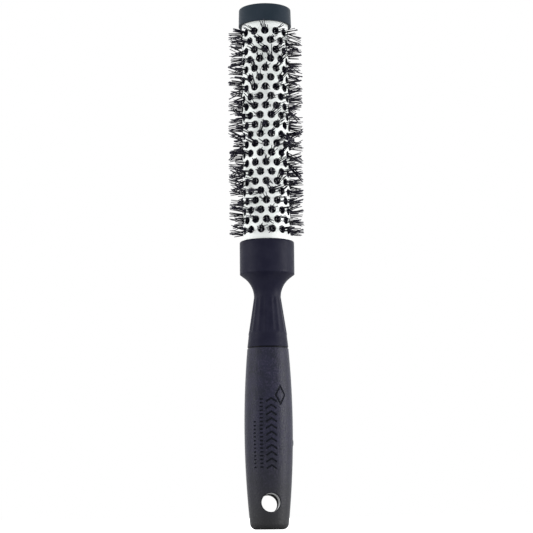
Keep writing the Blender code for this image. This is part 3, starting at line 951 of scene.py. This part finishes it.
def cut_window(shape, rows, low_row, high_row, left, right, front, hole_z):
    """Fill a window in the net with rings round the hang hole; returns the inmost ring."""
    outline = [rows[low_row][i] for i in range(left, right + 1)]
    outline += [rows[i][right] for i in range(low_row + 1, high_row)]
    outline += [rows[high_row][i] for i in range(right, left - 1, -1)]
    outline += [rows[i][left] for i in range(high_row - 1, low_row, -1)]
    facing = -1.0 if front == FRONT else 1.0
    flat = [(shape.points[i][0], shape.points[i][2] - hole_z) for i in outline]
    turns = [atan2(z, x) for x, z in flat]

    def ring(radius_of, depth, mark):
        loop = []
        for (x, z), turn in zip(flat, turns):
            spot_x, spot_z = radius_of(x, z, turn)
            surface = grip_radius(spot_z + hole_z)
            y = sqrt(max(0.0, surface ** 2 - spot_x ** 2)) - depth
            loop.append(shape.point(spot_x, facing * y, spot_z + hole_z, mark))
        return loop

    def between(share, size):
        def place(x, z, turn):
            inner = (size * cos(turn), size * sin(turn))
            return (inner[0] + (x - inner[0]) * share, inner[1] + (z - inner[1]) * share)
        return place

    loops = [outline]
    for share in (0.66, 0.36, 0.14):
        loops.append(ring(between(share, HANG_HOLE_RADIUS + HANG_HOLE_EDGE), 0.0, 0.0))
    # The rounded rim is marked for painted shade, darkest at the hole.
    for turn in (0.0, 22.5, 45.0, 67.5, 90.0):
        size = HANG_HOLE_RADIUS + HANG_HOLE_EDGE * (1.0 - sin(radians(turn)))
        depth = HANG_HOLE_EDGE * (1.0 - cos(radians(turn)))
        loops.append(ring(between(0.0, size), depth, 0.2 + 0.8 * turn / 90.0))
    for i in range(1, len(loops)):
        shape.bridge(loops[i - 1], loops[i])
    return loops[-1]


def join_walls(shape, front_loop, back_loop):
    """The bore of the hang hole, between the inmost rings of its two windows."""
    count = len(front_loop)

    def turn_of(index, hole_z):
        x, _, z = shape.points[index]
        return atan2(z - hole_z, x)

    back_turns = [turn_of(index, HANG_HOLE_BACK_Z) for index in back_loop]
    start = nearest(back_turns, turn_of(front_loop[0], HANG_HOLE_FRONT_Z))
    back = [back_loop[(start - i) % count] for i in range(count)]
    loops = [front_loop]
    for share in BORE_LIT_SHARES + BORE_DARK_SHARES:
        loop = []
        for a, b in zip(front_loop, back):
            first, last = Vector(shape.points[a]), Vector(shape.points[b])
            loop.append(shape.point(*first.lerp(last, share)))
        loops.append(loop)
    loops.append(back)
    # Front rings take the painted-light copy, the rest the painted-shade copy.
    for i in range(1, len(loops)):
        shape.bridge(loops[i - 1], loops[i], 1 if i <= len(BORE_LIT_SHARES) else 2)


# -------------------------------------------------------------------- stage

def make_floor():
    """A wide floor: pure white to the camera, and pale grey as a reflector."""
    mesh = bpy.data.meshes.new("floor")
    half = FLOOR_HALF_SIZE
    mesh.from_pydata([(-half, -half, 0), (half, -half, 0), (half, half, 0), (-half, half, 0)],
                     [], [(0, 1, 2, 3)])
    floor = bpy.data.objects.new("floor", mesh)
    bpy.context.scene.collection.objects.link(floor)
    paint = Look("floor_paint", (0.60, 0.60, 0.60), 0.9, specular=0.0)
    paint.shader.inputs["Emission Color"].default_value = (1.0, 1.0, 1.0, 1.0)
    rays = paint.node("ShaderNodeLightPath")
    paint.link(rays.outputs["Is Camera Ray"], paint.shader.inputs["Emission Strength"])
    paint.colour(paint.blend(paint.noise(0.4), (0.59, 0.59, 0.59), (0.61, 0.61, 0.61)))
    mesh.materials.append(paint.material)


def make_room():
    """A room that is brighter behind the brush, and plain white to the camera."""
    world = bpy.data.worlds.new("studio")
    bpy.context.scene.world = world
    world.use_nodes = True
    nodes, links = world.node_tree.nodes, world.node_tree.links
    nodes.clear()
    coords = nodes.new("ShaderNodeTexCoord")
    split = nodes.new("ShaderNodeSeparateXYZ")
    links.new(coords.outputs["Generated"], split.inputs["Vector"])
    depth = nodes.new("ShaderNodeMapRange")
    depth.interpolation_type = "SMOOTHSTEP"
    for socket, value in (("From Min", -0.75), ("From Max", 0.35),
                          ("To Min", ROOM_FRONT_STRENGTH), ("To Max", ROOM_BACK_STRENGTH)):
        depth.inputs[socket].default_value = value
    links.new(split.outputs["Y"], depth.inputs["Value"])
    room = nodes.new("ShaderNodeBackground")
    room.inputs["Color"].default_value = (0.97, 0.98, 1.0, 1.0)
    links.new(depth.outputs["Result"], room.inputs["Strength"])
    white = nodes.new("ShaderNodeBackground")
    white.inputs["Color"].default_value = (1.0, 1.0, 1.0, 1.0)
    white.inputs["Strength"].default_value = 1.0
    rays = nodes.new("ShaderNodeLightPath")
    mix = nodes.new("ShaderNodeMixShader")
    links.new(rays.outputs["Is Camera Ray"], mix.inputs["Fac"])
    links.new(room.outputs["Background"], mix.inputs[1])
    links.new(white.outputs["Background"], mix.inputs[2])
    out = nodes.new("ShaderNodeOutputWorld")
    links.new(mix.outputs["Shader"], out.inputs["Surface"])


def add_softbox(name, azimuth, aim_z, size, power):
    """A gridded lamp aimed at a height on the brush.

    The azimuth, in degrees, runs round from the camera's side. The power is in watts.
    """
    turn = FRONT + CAMERA_AZIMUTH + radians(azimuth)
    lamp = bpy.data.lights.new(name, "AREA")
    lamp.shape = "RECTANGLE"
    lamp.size, lamp.size_y = size
    lamp.energy = power
    lamp.spread = SOFTBOX_SPREAD
    item = bpy.data.objects.new(name, lamp)
    spot = Vector((SOFTBOX_DISTANCE * cos(turn), SOFTBOX_DISTANCE * sin(turn), SOFTBOX_HEIGHT))
    aim = Vector((0.0, 0.0, aim_z))
    item.location = spot
    item.rotation_euler = (aim - spot).to_track_quat("-Z", "Y").to_euler()
    bpy.context.scene.collection.objects.link(item)


def make_camera():
    """Just above the floor, tipped up at the brush and rolled by about half a degree."""
    lens = bpy.data.cameras.new("camera")
    lens.sensor_width = 36.0
    lens.lens = CAMERA_LENS
    lens.clip_start = 0.01
    camera = bpy.data.objects.new("camera", lens)
    away = Matrix.Rotation(CAMERA_AZIMUTH + CAMERA_YAW, 4, "Z")
    tip = Matrix.Rotation(pi / 2.0 + CAMERA_PITCH, 4, "X")
    spin = Matrix.Rotation(-CAMERA_ROLL, 4, "Z")
    spot = Vector((CAMERA_DISTANCE * sin(CAMERA_AZIMUTH), -CAMERA_DISTANCE * cos(CAMERA_AZIMUTH),
                   CAMERA_HEIGHT))
    camera.matrix_world = Matrix.Translation(spot) @ away @ tip @ spin
    bpy.context.scene.collection.objects.link(camera)
    bpy.context.scene.camera = camera
    bpy.context.scene.view_settings.view_transform = "Standard"


make_camera()
make_floor()
make_room()
add_softbox("softbox_right", 78.0, 0.04, (0.5, 0.26), 0.46)
add_softbox("softbox_left", -74.0, 0.19, (0.4, 0.26), 0.19)
make_barrel()
nylon_material, steel_material = nylon_look(), wire_look()
for row_column in range(COLUMN_COUNT):
    make_row(row_column, nylon_material, steel_material)
make_cap()
make_neck()
make_grip()
core_look = moulded_look("core_plastic", (0.012, 0.012, 0.015), (0.016, 0.016, 0.019),
                         roughness=0.5, spark=0.01 * MM)
for core_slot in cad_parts["handle_core"].material_slots:
    core_slot.material = core_look
